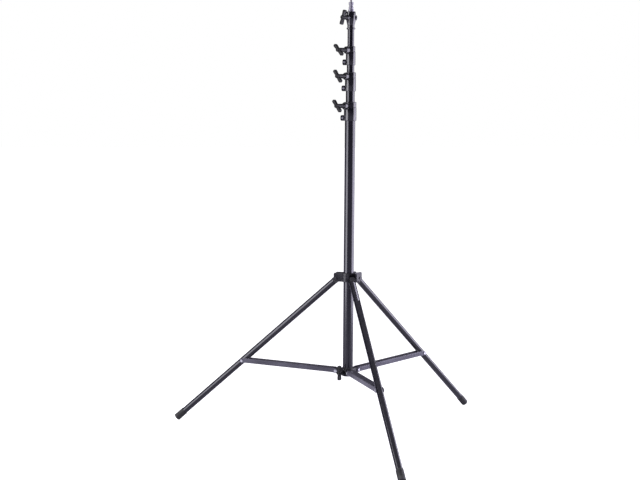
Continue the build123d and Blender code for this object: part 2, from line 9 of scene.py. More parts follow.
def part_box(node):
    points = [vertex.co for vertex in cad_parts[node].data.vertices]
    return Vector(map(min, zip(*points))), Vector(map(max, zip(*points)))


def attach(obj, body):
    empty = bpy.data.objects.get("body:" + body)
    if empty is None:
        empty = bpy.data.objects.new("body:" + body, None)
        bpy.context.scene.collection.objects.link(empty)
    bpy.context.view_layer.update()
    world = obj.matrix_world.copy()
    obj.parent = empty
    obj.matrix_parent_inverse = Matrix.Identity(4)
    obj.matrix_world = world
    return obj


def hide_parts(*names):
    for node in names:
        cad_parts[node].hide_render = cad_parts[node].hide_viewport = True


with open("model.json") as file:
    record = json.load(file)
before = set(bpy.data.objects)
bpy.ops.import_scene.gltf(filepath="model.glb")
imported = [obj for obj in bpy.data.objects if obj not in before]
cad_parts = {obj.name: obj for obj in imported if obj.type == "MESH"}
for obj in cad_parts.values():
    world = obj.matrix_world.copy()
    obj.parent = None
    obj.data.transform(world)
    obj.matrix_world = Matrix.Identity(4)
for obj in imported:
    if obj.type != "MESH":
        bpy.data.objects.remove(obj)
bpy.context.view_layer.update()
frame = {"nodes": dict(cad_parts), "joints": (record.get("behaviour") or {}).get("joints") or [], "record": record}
nodes = frame["nodes"]

# ---- Base tube -----------------------------------------------------------
# The column's fixed bottom section: a drawn aluminium tube, cut square, its
# mouths eased, and anodised satin black with a faint violet cast.


def shader_group(name, inputs, outputs):
    """An empty shader node group with named value, colour and vector sockets."""
    group = bpy.data.node_groups.new(name, "ShaderNodeTree")
    for label, kind in inputs:
        group.interface.new_socket(label, in_out="INPUT", socket_type=kind)
    for label, kind in outputs:
        group.interface.new_socket(label, in_out="OUTPUT", socket_type=kind)
    return group, group.nodes.new("NodeGroupInput"), group.nodes.new("NodeGroupOutput")


def noise(tree, vector, scale, detail=3.0):
    """A noise texture read through its own stretched coordinates."""
    stretch = tree.nodes.new("ShaderNodeMapping")
    stretch.inputs["Scale"].default_value = scale
    tree.links.new(vector, stretch.inputs["Vector"])
    texture = tree.nodes.new("ShaderNodeTexNoise")
    texture.inputs["Scale"].default_value = 1.0
    texture.inputs["Detail"].default_value = detail
    tree.links.new(stretch.outputs["Vector"], texture.inputs["Vector"])
    return texture.outputs["Fac"]


def ramp(tree, value, low, high):
    """Maps low..high of a value to 0..1, clamped."""
    fit = tree.nodes.new("ShaderNodeMapRange")
    fit.inputs["From Min"].default_value = low
    fit.inputs["From Max"].default_value = high
    tree.links.new(value, fit.inputs["Value"])
    return fit.outputs["Result"]


def times(tree, first, second):
    """Product of two values, either of which may be a socket or a number."""
    node = tree.nodes.new("ShaderNodeMath")
    node.operation = "MULTIPLY"
    for socket, value in zip(node.inputs, (first, second)):
        if isinstance(value, (int, float)):
            socket.default_value = value
        else:
            tree.links.new(value, socket)
    return node.outputs[0]


def drawn_group():
    """Fine lines that the drawing die leaves along a tube, and slow tone drift."""
    group, given, made = shader_group(
        "drawn_lines",
        [("Vector", "NodeSocketVector")],
        [("Lines", "NodeSocketFloat"), ("Drift", "NodeSocketFloat")],
    )
    lines = noise(group, given.outputs["Vector"], (900, 900, 6), detail=2.0)
    drift = noise(group, given.outputs["Vector"], (14, 14, 5))
    group.links.new(ramp(group, lines, 0.3, 0.7), made.inputs["Lines"])
    group.links.new(ramp(group, drift, 0.35, 0.65), made.inputs["Drift"])
    return group


def scuff_group():
    """Sparse handling marks: short light scratches and rubbed patches."""
    group, given, made = shader_group(
        "scuffs",
        [("Vector", "NodeSocketVector"), ("Amount", "NodeSocketFloat")],
        [("Mask", "NodeSocketFloat")],
    )
    fine = noise(group, given.outputs["Vector"], (240, 240, 1500), detail=2.0)
    broad = noise(group, given.outputs["Vector"], (22, 22, 9), detail=4.0)
    scratch = ramp(group, fine, 0.66, 0.74)
    patch = ramp(group, broad, 0.55, 0.7)
    mask = times(group, times(group, scratch, patch), given.outputs["Amount"])
    group.links.new(mask, made.inputs["Mask"])
    return group


def dust_group():
    """Pale dust that settles on faces that look up."""
    group, given, made = shader_group(
        "dust",
        [("Vector", "NodeSocketVector"), ("Amount", "NodeSocketFloat")],
        [("Mask", "NodeSocketFloat")],
    )
    facing = group.nodes.new("ShaderNodeNewGeometry")
    split = group.nodes.new("ShaderNodeSeparateXYZ")
    group.links.new(facing.outputs["Normal"], split.inputs["Vector"])
    upward = ramp(group, split.outputs["Z"], 0.2, 1.0)
    cloud = ramp(group, noise(group, given.outputs["Vector"], (60, 60, 60), detail=5.0), 0.35, 0.75)
    mask = times(group, times(group, upward, cloud), given.outputs["Amount"])
    group.links.new(mask, made.inputs["Mask"])
    return group


drawn_lines = drawn_group()
scuffs = scuff_group()
dust = dust_group()


def placed_group(tree, group, vector, amount=None):
    """One shader group placed in a material, fed with its coordinates."""
    node = tree.nodes.new("ShaderNodeGroup")
    node.node_tree = group
    tree.links.new(vector, node.inputs["Vector"])
    if amount is not None:
        node.inputs["Amount"].default_value = amount
    return node.outputs


def blend_colour(tree, mask, first, second):
    """Mixes two colours, each a socket or an RGB triple, by a mask."""
    node = tree.nodes.new("ShaderNodeMix")
    node.data_type = "RGBA"
    tree.links.new(mask, node.inputs["Factor"])
    for socket, value in zip((node.inputs[6], node.inputs[7]), (first, second)):
        if isinstance(value, tuple):
            socket.default_value = (*value, 1.0)
        else:
            tree.links.new(value, socket)
    return node.outputs[2]


def blend_value(tree, mask, low, high):
    """A value that runs from low to high with a mask."""
    fit = tree.nodes.new("ShaderNodeMapRange")
    fit.inputs["To Min"].default_value = low
    fit.inputs["To Max"].default_value = high
    tree.links.new(mask, fit.inputs["Value"])
    return fit.outputs["Result"]


def relief(tree, surface, height, depth, strength=0.5):
    """Feeds a height to the surface's normal, at a depth in metres."""
    bump = tree.nodes.new("ShaderNodeBump")
    bump.inputs["Strength"].default_value = strength
    bump.inputs["Distance"].default_value = depth
    tree.links.new(height, bump.inputs["Height"])
    tree.links.new(bump.outputs["Normal"], surface.inputs["Normal"])


def new_finish(name, turns=()):
    """A material with its surface and object coordinates, turned in steps."""
    material = bpy.data.materials.new(name)
    material.use_nodes = True
    tree = material.node_tree
    surface = tree.nodes["Principled BSDF"]
    vector = tree.nodes.new("ShaderNodeTexCoord").outputs["Object"]
    for turn in turns:
        mapping = tree.nodes.new("ShaderNodeMapping")
        mapping.inputs["Rotation"].default_value = turn
        tree.links.new(vector, mapping.inputs["Vector"])
        vector = mapping.outputs["Vector"]
    return material, tree, surface, vector


tube_black = (0.006, 0.006, 0.010)
tube_sheen = (0.012, 0.011, 0.018)
bare_metal = (0.42, 0.42, 0.45)
dust_colour = (0.30, 0.29, 0.28)


def anodised(name, turns=()):
    """Satin black anodising over a drawn tube, its grain along the tube."""
    material, tree, surface, vector = new_finish(name, turns)
    lines = placed_group(tree, drawn_lines, vector)
    marks = placed_group(tree, scuffs, vector, amount=0.15)
    settled = placed_group(tree, dust, vector, amount=0.12)
    colour = blend_colour(tree, lines["Drift"], tube_black, tube_sheen)
    colour = blend_colour(tree, marks["Mask"], colour, bare_metal)
    colour = blend_colour(tree, settled["Mask"], colour, dust_colour)
    tree.links.new(colour, surface.inputs["Base Color"])
    tree.links.new(blend_value(tree, lines["Lines"], 0.13, 0.19), surface.inputs["Roughness"])
    surface.inputs["Metallic"].default_value = 0.35
    surface.inputs["Specular IOR Level"].default_value = 0.8
    relief(tree, surface, lines["Lines"], depth=0.000003, strength=0.2)
    return material


anodised_upright = anodised("black_anodised_upright")


smooth_angle = math.radians(35)
weld_distance = 1e-6


def settle(mesh, name, body, material, stands_for=(), place=None, ease=0.0):
    """Turns a bmesh into a finished piece that rides on a body."""
    if place is not None:
        bmesh.ops.transform(mesh, matrix=place, verts=mesh.verts)
    data = bpy.data.meshes.new(name)
    mesh.to_mesh(data)
    mesh.free()
    data.shade_smooth()
    data.set_sharp_from_angle(angle=smooth_angle)
    data.materials.append(material)
    piece = bpy.data.objects.new(name, data)
    bpy.context.scene.collection.objects.link(piece)
    if ease:
        rounding = piece.modifiers.new("eased_edges", "BEVEL")
        rounding.width = ease
        rounding.segments = 3
        rounding.limit_method = "ANGLE"
        rounding.angle_limit = smooth_angle
        rounding.harden_normals = True
    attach(piece, body)
    if stands_for:
        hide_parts(*stands_for)
    return piece


def turned(outline, steps=96):
    """A lathe piece: an (r, z) outline spun round the Z axis."""
    mesh = bmesh.new()
    points = [mesh.verts.new((radius, 0, height)) for radius, height in outline]
    edges = [mesh.edges.new(pair) for pair in zip(points, points[1:])]
    if outline[0][0] > 0:
        edges.append(mesh.edges.new((points[-1], points[0])))
    bmesh.ops.spin(
        mesh, geom=points + edges, cent=(0, 0, 0), axis=(0, 0, 1),
        angle=math.tau, steps=steps, use_merge=True,
    )
    bmesh.ops.remove_doubles(mesh, verts=mesh.verts, dist=weld_distance)
    bmesh.ops.recalc_face_normals(mesh, faces=mesh.faces)
    return mesh


def tube_outline(outer, wall, bottom, top):
    """Closed wall section of a tube."""
    inner = outer - wall
    return [(outer, bottom), (outer, top), (inner, top), (inner, bottom)]


base_low, base_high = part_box("base_tube")
column_x, column_y = (base_low + base_high).to_2d() / 2
column_place = Matrix.Translation((column_x, column_y, 0))
base_wall = 0.0015
mouth_ease = 0.0005

settle(
    turned(tube_outline((base_high.x - base_low.x) / 2, base_wall, base_low.z, base_high.z)),
    "base_tube_drawn", "column", anodised_upright,
    stands_for=["base_tube"], place=column_place, ease=mouth_ease,
)

# ---- Risers --------------------------------------------------------------
# Three thinner drawn tubes that telescope out of the base tube. Each is cut
# square, eased a little at its mouths, and anodised black like the base.
riser_walls = {1: 0.0012, 2: 0.0010, 3: 0.0010}
for number, wall in riser_walls.items():
    node = f"riser_{number}_tube"
    low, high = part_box(node)
    settle(
        turned(tube_outline((high.x - low.x) / 2, wall, low.z, high.z)),
        f"riser_{number}_drawn", f"riser_{number}", anodised_upright,
        stands_for=[node], place=column_place, ease=mouth_ease / 2,
    )

# ---- Cast collars, clamp rings, leg hub, lower collar and head -----------
# Die-cast aluminium, its edges rounded, in black powder paint with a fine
# orange peel: glossy on the collars, rings and head, satin on the leg hub and
# the lower collar.


def peel_group():
    """Orange peel and pinholes of powder coat on a casting."""
    group, given, made = shader_group(
        "powder_peel",
        [("Vector", "NodeSocketVector")],
        [("Height", "NodeSocketFloat"), ("Tone", "NodeSocketFloat")],
    )
    peel = noise(group, given.outputs["Vector"], (900, 900, 900), detail=2.0)
    tone = noise(group, given.outputs["Vector"], (70, 70, 70), detail=4.0)
    group.links.new(peel, made.inputs["Height"])
    group.links.new(ramp(group, tone, 0.35, 0.65), made.inputs["Tone"])
    return group


powder_peel = peel_group()
casting_dark = (0.006, 0.006, 0.009)
casting_light = (0.014, 0.013, 0.018)


def powder_coat(name, smooth, rough, gloss):
    """Black powder coat with orange peel, marked by handling."""
    material, tree, surface, vector = new_finish(name)
    peel = placed_group(tree, powder_peel, vector)
    marks = placed_group(tree, scuffs, vector, amount=0.4)
    settled = placed_group(tree, dust, vector, amount=0.25)
    colour = blend_colour(tree, peel["Tone"], casting_dark, casting_light)
    colour = blend_colour(tree, marks["Mask"], colour, bare_metal)
    colour = blend_colour(tree, settled["Mask"], colour, dust_colour)
    tree.links.new(colour, surface.inputs["Base Color"])
    tree.links.new(blend_value(tree, peel["Tone"], smooth, rough), surface.inputs["Roughness"])
    surface.inputs["Specular IOR Level"].default_value = gloss
    relief(tree, surface, peel["Height"], depth=0.00003, strength=0.3)
    return material


glossy_coat = powder_coat("glossy_powder_coat", smooth=0.13, rough=0.21, gloss=0.7)
satin_coat = powder_coat("satin_powder_coat", smooth=0.28, rough=0.40, gloss=0.4)
flat_angle = math.radians(0.5)


def softened(node, body, material, width):
    """A copy of a CAD piece, its facets welded and its edges rounded."""
    mesh = bmesh.new()
    mesh.from_mesh(nodes[node].data)
    bmesh.ops.remove_doubles(mesh, verts=mesh.verts, dist=weld_distance)
    bmesh.ops.dissolve_limit(mesh, angle_limit=flat_angle, verts=mesh.verts, edges=mesh.edges)
    return settle(mesh, f"{node}_finished", body, material, stands_for=[node], ease=width)


cast_pieces = {
    "column": ("collar_c", "clamp_ring_c", "lower_collar"),
    "riser_1": ("collar_b", "clamp_ring_b"),
    "riser_2": ("collar_a", "clamp_ring_a"),
    "riser_3": ("head_cap", "head_neck", "riser_3_flange"),
    "hub": ("leg_hub",),
}
split_pieces = [f"{piece}_{level}" for piece in ("collar", "clamp_ring") for level in ("a", "b", "c")]
base_pieces = ("leg_hub", "lower_collar")
casting_ease = 0.0006
seam_ease = 0.0012
for body, names in cast_pieces.items():
    for name in names:
        coat = satin_coat if name in base_pieces else glossy_coat
        ease = seam_ease if name in split_pieces else casting_ease
        softened(name, body, coat, ease)

# ---- Braces --------------------------------------------------------------
# Strip pressed into a channel that hugs its leg when folded. Its bends are
# rounded by the press, and it is coated a shade greyer than the tubes.
channel_dark = (0.060, 0.057, 0.076)
channel_light = (0.095, 0.091, 0.118)
channel_ease = 0.0004
sides = ("front", "right", "left")
azimuths = {"front": 0.0, "right": math.radians(120), "left": math.radians(240)}


def channel_finish(name, turns):
    """Grey-black coat over rolled strip, with faint rolling lines."""
    material, tree, surface, vector = new_finish(name, turns)
    rolled = ramp(tree, noise(tree, vector, (500, 4, 500), detail=2.0), 0.3, 0.7)
    cloud = ramp(tree, noise(tree, vector, (30, 12, 30), detail=4.0), 0.35, 0.65)
    marks = placed_group(tree, scuffs, vector, amount=0.5)
    settled = placed_group(tree, dust, vector, amount=0.2)
    colour = blend_colour(tree, cloud, channel_dark, channel_light)
    colour = blend_colour(tree, marks["Mask"], colour, bare_metal)
    colour = blend_colour(tree, settled["Mask"], colour, dust_colour)
    tree.links.new(colour, surface.inputs["Base Color"])
    tree.links.new(blend_value(tree, rolled, 0.26, 0.38), surface.inputs["Roughness"])
    surface.inputs["Metallic"].default_value = 0.25
    relief(tree, surface, rolled, depth=0.00002, strength=0.3)
    return material


for side in sides:
    finish = channel_finish(f"channel_{side}", [(0, 0, -azimuths[side])])
    softened(f"brace_{side}", f"brace_{side}_body", finish, channel_ease)

# ---- Legs ----------------------------------------------------------------
# Three drawn tubes, anodised like the column. Each hangs from a moulded eye
# pressed into its top end and is crossed by the rivet of its brace.
joints = {joint["name"]: joint for joint in frame["joints"]}
bolts_low, bolts_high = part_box("hub_bolts")
bolt_head_radius = (bolts_high.z - bolts_low.z) / 2
hub_height = (bolts_high.z + bolts_low.z) / 2
hub_reach = column_y - bolts_low.y - bolt_head_radius
leg_radius = 0.011
leg_wall = 0.0012
leg_length = 0.793
leg_steps = 64
eye_neck = 0.014
foot_end = 0.005


def leg_place(side):
    """Leg frame: origin at the hub pivot, local Z down the leg."""
    azimuth = azimuths[side]
    reach = Vector((math.sin(azimuth), -math.cos(azimuth), 0)) * hub_reach
    pivot = Vector((column_x, column_y, hub_height)) + reach
    down = (Vector(joints[f"leg_{side}_hinge"]["pos_m"]) - pivot).normalized()
    across = Vector((math.cos(azimuth), math.sin(azimuth), 0))
    turn = Matrix((across, down.cross(across), down)).transposed().to_4x4()
    return Matrix.Translation(pivot) @ turn


leg_lean = math.acos(-leg_place("front").col[2].z)


def leg_turns(side):
    """Texture turns that lay the leg along the pattern's Z axis."""
    return [(0, 0, -azimuths[side]), (leg_lean, 0, 0)]


for side in sides:
    leg_tube = turned(tube_outline(leg_radius, leg_wall, eye_neck, leg_length - foot_end), leg_steps)
    settle(
        leg_tube, f"leg_tube_{side}_drawn", f"leg_{side}",
        anodised(f"black_anodised_leg_{side}", leg_turns(side)),
        stands_for=[f"leg_tube_{side}"], place=leg_place(side), ease=mouth_ease / 2,
    )

# A blank pale foil strip is stuck on the front leg, just below the hub.
label_start = 0.018
label_end = 0.098
label_width = 0.0052
label_turn = math.radians(14)
label_stand = 0.00005
label_thickness = 0.00015
label_steps = 10
foil_dull = (0.36, 0.36, 0.39)
foil_pale = (0.50, 0.50, 0.53)
foil_scuff = (0.20, 0.20, 0.22)


def label_foil():
    """Pale foil, a little scuffed and cloudy."""
    material, tree, surface, vector = new_finish("blank_foil")
    cloud = ramp(tree, noise(tree, vector, (120, 120, 120), detail=4.0), 0.35, 0.65)
    marks = placed_group(tree, scuffs, vector, amount=0.6)
    colour = blend_colour(tree, cloud, foil_dull, foil_pale)
    colour = blend_colour(tree, marks["Mask"], colour, foil_scuff)
    tree.links.new(colour, surface.inputs["Base Color"])
    tree.links.new(blend_value(tree, cloud, 0.35, 0.5), surface.inputs["Roughness"])
    return material


label = bmesh.new()
radius = leg_radius + label_stand
half_turn = label_width / 2 / radius
first_angle = math.pi / 2 - label_turn - half_turn
rim = (math.cos(first_angle), math.sin(first_angle))
corners = [
    label.verts.new((rim[0] * reach, rim[1] * reach, height))
    for reach, height in (
        (radius, label_start), (radius, label_end),
        (radius + label_thickness, label_end), (radius + label_thickness, label_start),
    )
]
edge_face = label.faces.new(corners)
bmesh.ops.spin(
    label, geom=[edge_face], cent=(0, 0, 0), axis=(0, 0, 1), angle=2 * half_turn, steps=label_steps,
)
bmesh.ops.recalc_face_normals(label, faces=label.faces)
settle(
    label, "leg_label_blank", "leg_front", label_foil(),
    place=leg_place("front"),
)

# ---- Moulded plastic: leg eyes, bushes, pistons, plug --------------------
# Black nylon mouldings. They bear on the tubes and seal or guide them, and
# most are hidden inside. Their skin is finely spark-eroded.


def grain_group():
    """Fine mould grain: a spark-eroded tool's pits, and slow gloss change."""
    group, given, made = shader_group(
        "mould_grain",
        [("Vector", "NodeSocketVector")],
        [("Height", "NodeSocketFloat"), ("Tone", "NodeSocketFloat")],
    )
    pits = noise(group, given.outputs["Vector"], (2400, 2400, 2400))
    tone = noise(group, given.outputs["Vector"], (90, 90, 90), detail=4.0)
    group.links.new(pits, made.inputs["Height"])
    group.links.new(ramp(group, tone, 0.35, 0.65), made.inputs["Tone"])
    return group


mould_grain = grain_group()


def moulded(name, dark, light, smooth, rough, depth, dusty):
    """A moulded plastic or rubber skin."""
    material, tree, surface, vector = new_finish(name)
    grain = placed_group(tree, mould_grain, vector)
    settled = placed_group(tree, dust, vector, dusty)
    colour = blend_colour(tree, grain["Tone"], dark, light)
    colour = blend_colour(tree, settled["Mask"], colour, dust_colour)
    tree.links.new(colour, surface.inputs["Base Color"])
    tree.links.new(blend_value(tree, grain["Tone"], smooth, rough), surface.inputs["Roughness"])
    relief(tree, surface, grain["Height"], depth, strength=0.4)
    return material


nylon = moulded(
    "black_nylon", dark=(0.013, 0.013, 0.014), light=(0.022, 0.022, 0.024),
    smooth=0.38, rough=0.5, depth=0.00002, dusty=0.1,
)
eye_ease = 0.0004
inner_mouldings = ["bottom_plug", "hub_bush"]
inner_mouldings += [f"collar_{level}_bush" for level in ("a", "b", "c")]
inner_mouldings += [f"riser_{number}_piston" for number in riser_walls]
for name in inner_mouldings:
    nodes[name].material_slots[0].material = nylon
for side in sides:
    softened(f"leg_eye_{side}", f"leg_{side}", nylon, eye_ease)

# ---- Rubber: feet and air seals ------------------------------------------
# Black rubber caps pushed over the leg ends, ribbed for grip, a flat worn
# where each meets the floor; and the pistons' soft sealing rings.
rubber = moulded(
    "black_rubber", dark=(0.008, 0.008, 0.008), light=(0.018, 0.018, 0.018),
    smooth=0.55, rough=0.8, depth=0.00005, dusty=0.35,
)
foot_radius = 0.01254
foot_length = 0.040
foot_clearance = 0.0001
tip_radius = 0.0012
tip_steps = 4
rib_depth = 0.0006
rib_pitch = 0.0045
rib_count = 5


def foot_outline():
    """Outer skin with ribs near the open end, a rounded tip, and the socket."""
    mouth = leg_length - foot_length
    root = foot_radius - rib_depth
    socket = leg_radius + foot_clearance
    outline = [(root, mouth)]
    for rib in range(rib_count):
        start = mouth + rib_pitch * (rib + 0.5)
        outline += [
            (root, start),
            (foot_radius, start + 0.2 * rib_pitch),
            (foot_radius, start + 0.7 * rib_pitch),
            (root, start + 0.9 * rib_pitch),
        ]
    outline.append((foot_radius, mouth + rib_pitch * (rib_count + 1)))
    for step in range(tip_steps + 1):
        angle = math.pi / 2 * step / tip_steps
        outline.append((
            foot_radius - tip_radius + tip_radius * math.cos(angle),
            leg_length - tip_radius + tip_radius * math.sin(angle),
        ))
    floor_of_socket = leg_length - foot_end
    outline += [(0, leg_length), (0, floor_of_socket), (socket, floor_of_socket), (socket, mouth)]
    return outline


for side in sides:
    cap = turned(foot_outline(), leg_steps)
    bmesh.ops.transform(cap, matrix=leg_place(side), verts=cap.verts)
    cut = bmesh.ops.bisect_plane(
        cap, geom=cap.verts[:] + cap.edges[:] + cap.faces[:], dist=weld_distance,
        plane_co=(0, 0, 0), plane_no=(0, 0, -1), clear_outer=True,
    )
    cut_edges = [item for item in cut["geom_cut"] if isinstance(item, bmesh.types.BMEdge)]
    bmesh.ops.holes_fill(cap, edges=cut_edges)
    settle(cap, f"foot_{side}_cap", f"leg_{side}", rubber, stands_for=[f"foot_{side}"])
for number in riser_walls:
    nodes[f"riser_{number}_seal"].material_slots[0].material = rubber

# ---- T-knobs -------------------------------------------------------------
# Two-winged knobs moulded in black plastic over the head of a clamping screw,
# waisted for the fingers, with a fluted neck and a cored centre.
knob_plastic = moulded(
    "knob_plastic", dark=(0.005, 0.005, 0.006), light=(0.009, 0.009, 0.010),
    smooth=0.40, rough=0.52, depth=0.00002, dusty=0.12,
)
knob_plastic.node_tree.nodes["Principled BSDF"].inputs["Specular IOR Level"].default_value = 0.28
knob_tilts = {"c": 131.0, "b": 128.0, "a": 136.0, "top": 70.0, "low": 90.0}
wing_depth = 0.0105
wing_grip = 0.0115
wing_cuts = 19
waist_share = 0.80
tip_share = 0.55
tip_start = 0.86
groove_depth = 0.0013
groove_margin = 0.0022
groove_start = 0.17
groove_end = 0.45
wing_corner = 0.0012
nose = 0.0025
nose_radius = 0.002
nose_steps = 4
core_mouth_radius = 0.0028
core_floor_radius = 0.0024
core_depth = 0.0012
neck_radius = 0.0078
neck_taper = 0.0008
neck_flutes = 10
flute_steps = 6
flute_share = 0.03
knob_ease = 0.0003


def knob_place(name):
    """Knob frame: origin on the screw's axis at the neck, local Z outward."""
    joint = joints[f"knob_{name}_turn"]
    way = Vector(joint["axis"])
    centre = Vector(joint["pos_m"])
    reaches = [(vertex.co - centre).dot(way) for vertex in nodes[f"knob_{name}"].data.vertices]
    across = Vector((0, 0, 1)).cross(way)
    turn = Matrix((across, Vector((0, 0, 1)), way)).transposed().to_4x4()
    place = Matrix.Translation(centre + way * min(reaches)) @ turn
    return place @ Matrix.Rotation(math.radians(knob_tilts[name]), 4, "Z"), max(reaches) - min(reaches)


def knob_span(name):
    """Wing tip to wing tip, read from the CAD piece."""
    joint = joints[f"knob_{name}_turn"]
    way, centre = Vector(joint["axis"]), Vector(joint["pos_m"])
    arms = [vertex.co - centre for vertex in nodes[f"knob_{name}"].data.vertices]
    return 2 * max((arm - way * arm.dot(way)).length for arm in arms)


def knob_mesh(span, depth):
    """Grooved, waisted wings on a fluted barrel with a rounded nose."""
    mesh = bmesh.new()
    bmesh.ops.create_cube(mesh, size=1.0)
    long_edges = [edge for edge in mesh.edges if abs(edge.verts[0].co.x - edge.verts[1].co.x) > 0.5]
    bmesh.ops.subdivide_edges(mesh, edges=long_edges, cuts=wing_cuts)
    wing_middle = depth - nose - wing_depth / 2
    for vertex in mesh.verts:
        along = 2 * abs(vertex.co.x)
        bulge = waist_share + (1 - waist_share) * math.sin(along * math.pi / 2) ** 2
        past_tip = max(0.0, (along - tip_start) / (1 - tip_start))
        tip = tip_share + (1 - tip_share) * math.sqrt(max(0.0, 1 - past_tip ** 2))
        vertex.co.x *= span
        vertex.co.y *= wing_grip * bulge * tip
        vertex.co.z = wing_middle + vertex.co.z * wing_depth
    mesh.normal_update()
    for across in (-1, 1):
        for along in (-1, 1):
            flank = [
                face for face in mesh.faces
                if face.normal.y * across > 0.8
                and groove_start < face.calc_center_median().x * along / span < groove_end
            ]
            bmesh.ops.inset_region(
                mesh, faces=flank, thickness=groove_margin, depth=-groove_depth, use_even_offset=True,
            )
    corners = [edge for edge in mesh.edges if edge.calc_face_angle(0) > math.radians(50)]
    bmesh.ops.bevel(
        mesh, geom=corners, offset=wing_corner, offset_type="OFFSET", segments=3,
        profile=0.5, affect="EDGES", material=-1, clamp_overlap=True,
    )
    top_radius = neck_radius - neck_taper
    barrel = [(0, 0), (neck_radius, 0), (top_radius, depth - nose_radius)]
    for step in range(1, nose_steps + 1):
        angle = math.pi / 2 * step / nose_steps
        barrel.append((
            top_radius - nose_radius * (1 - math.cos(angle)),
            depth - nose_radius * (1 - math.sin(angle)),
        ))
    core_floor = depth - core_depth
    barrel += [(core_mouth_radius, depth), (core_floor_radius, core_floor), (0, core_floor)]
    core = turned(barrel, neck_flutes * flute_steps)
    neck_top = depth - nose - wing_depth
    for vertex in core.verts:
        if vertex.co.z < neck_top:
            turn = math.atan2(vertex.co.y, vertex.co.x) * neck_flutes
            vertex.co.xy = vertex.co.xy * (1 - flute_share * (1 - math.cos(turn)))
    joined = bpy.data.meshes.new("knob_core")
    core.to_mesh(joined)
    core.free()
    mesh.from_mesh(joined)
    bpy.data.meshes.remove(joined)
    return mesh


for name in knob_tilts:
    place, depth = knob_place(name)
    settle(
        knob_mesh(knob_span(name), depth), f"knob_{name}_moulded", f"knob_{name}_body", knob_plastic,
        stands_for=[f"knob_{name}"], place=place, ease=knob_ease,
    )

# ---- Fasteners -----------------------------------------------------------
# Bolts, nuts, rivets and clamping screws: cold-headed steel under a bright
# zinc plate, faintly blue and blotched where hands have dulled it. Only the
# hub's pivot bolts are blacked instead.


def plated_steel(name, dull, bright, smooth, rough):
    """Plate over steel, with blotches and fine rubbing marks."""
    material, tree, surface, vector = new_finish(name)
    blotch = ramp(tree, noise(tree, vector, (160, 160, 160), detail=4.0), 0.35, 0.65)
    rubbed = noise(tree, vector, (1800, 1800, 1800), detail=2.0)
    colour = blend_colour(tree, blotch, dull, bright)
    tree.links.new(colour, surface.inputs["Base Color"])
    tree.links.new(blend_value(tree, blotch, smooth, rough), surface.inputs["Roughness"])
    surface.inputs["Metallic"].default_value = 1.0
    relief(tree, surface, rubbed, depth=0.000005, strength=0.2)
    return material


oxide_dark = (0.020, 0.020, 0.024)
oxide_rubbed = (0.055, 0.052, 0.055)


def oxide_black():
    """Oiled black oxide on steel: dark, glossy, rubbed brown-grey in places."""
    material, tree, surface, vector = new_finish("black_oxide")
    blotch = ramp(tree, noise(tree, vector, (220, 220, 220), detail=4.0), 0.4, 0.7)
    colour = blend_colour(tree, blotch, oxide_dark, oxide_rubbed)
    tree.links.new(colour, surface.inputs["Base Color"])
    tree.links.new(blend_value(tree, blotch, 0.14, 0.28), surface.inputs["Roughness"])
    surface.inputs["Metallic"].default_value = 0.6
    etched = noise(tree, vector, (1500, 1500, 1500), detail=2.0)
    relief(tree, surface, etched, depth=0.00001, strength=0.3)
    return material


zinc = plated_steel(
    "bright_zinc", dull=(0.42, 0.42, 0.46), bright=(0.55, 0.55, 0.58), smooth=0.38, rough=0.50,
)
black_oxide = oxide_black()
nodes["hub_bolts"].material_slots[0].material = black_oxide
plain_screws = [f"knob_{name}_screw" for name in knob_tilts]
plain_screws += [f"collar_{name}_screw" for name in ("a", "b", "c")]
plain_screws += [f"leg_rivet_{side}" for side in sides]
plain_screws += ["brace_bolts", "brace_nuts", "head_side_screw"]
for name in plain_screws:
    nodes[name].material_slots[0].material = zinc

# ---- Stud ----------------------------------------------------------------
# A steel stud turned in one piece and plated in dull nickel: shoulder, grooved
# barrel for a lamp head's clamp, and a thinner threaded end. It is pressed
# into the head.
stud_low, stud_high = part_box("stud")
stud_plate = plated_steel(
    "dull_nickel", dull=(0.22, 0.21, 0.25), bright=(0.30, 0.29, 0.33), smooth=0.50, rough=0.62,
)
shank_radius = 0.007
mount = {entry["name"]: entry for entry in frame["record"]["mounts"]}
barrel_radius = mount["stud"]["dims"]["r_mm"] / 1000
thread_radius = mount["thread"]["dims"]["r_mm"] / 1000
mount_rise = 0.002
barrel_foot = mount["stud"]["pos_m"][2] - mount_rise
thread_length = 0.013
barrel_top = stud_high.z - thread_length
shoulder_radius = (stud_high.x - stud_low.x) / 2
shoulder_height = 0.0065
shoulder_foot = barrel_foot - shoulder_height
groove_radius = 0.0064
groove_half = 0.0035
groove_slope = 0.0008
groove_centre = (barrel_foot + barrel_top) / 2
thread_pitch = 0.00127
thread_depth = 0.0007
chamfer = 0.0012
stud_ease = 0.0002
stud_outline = [
    (0, stud_low.z),
    (shank_radius, stud_low.z),
    (shank_radius, shoulder_foot),
    (shoulder_radius, shoulder_foot),
    (shoulder_radius, barrel_foot),
    (barrel_radius, barrel_foot),
    (barrel_radius, groove_centre - groove_half),
    (groove_radius, groove_centre - groove_half + groove_slope),
    (groove_radius, groove_centre + groove_half - groove_slope),
    (barrel_radius, groove_centre + groove_half),
    (barrel_radius, barrel_top - chamfer),
    (barrel_radius - chamfer, barrel_top),
    (thread_radius - thread_depth, barrel_top),
    (thread_radius - thread_depth, stud_high.z - thread_depth / 2),
    (thread_radius - 2 * thread_depth, stud_high.z),
    (0, stud_high.z),
]
settle(
    turned(stud_outline, steps=72), "stud_turned", "riser_3", stud_plate,
    stands_for=["stud"], place=column_place, ease=stud_ease,
)

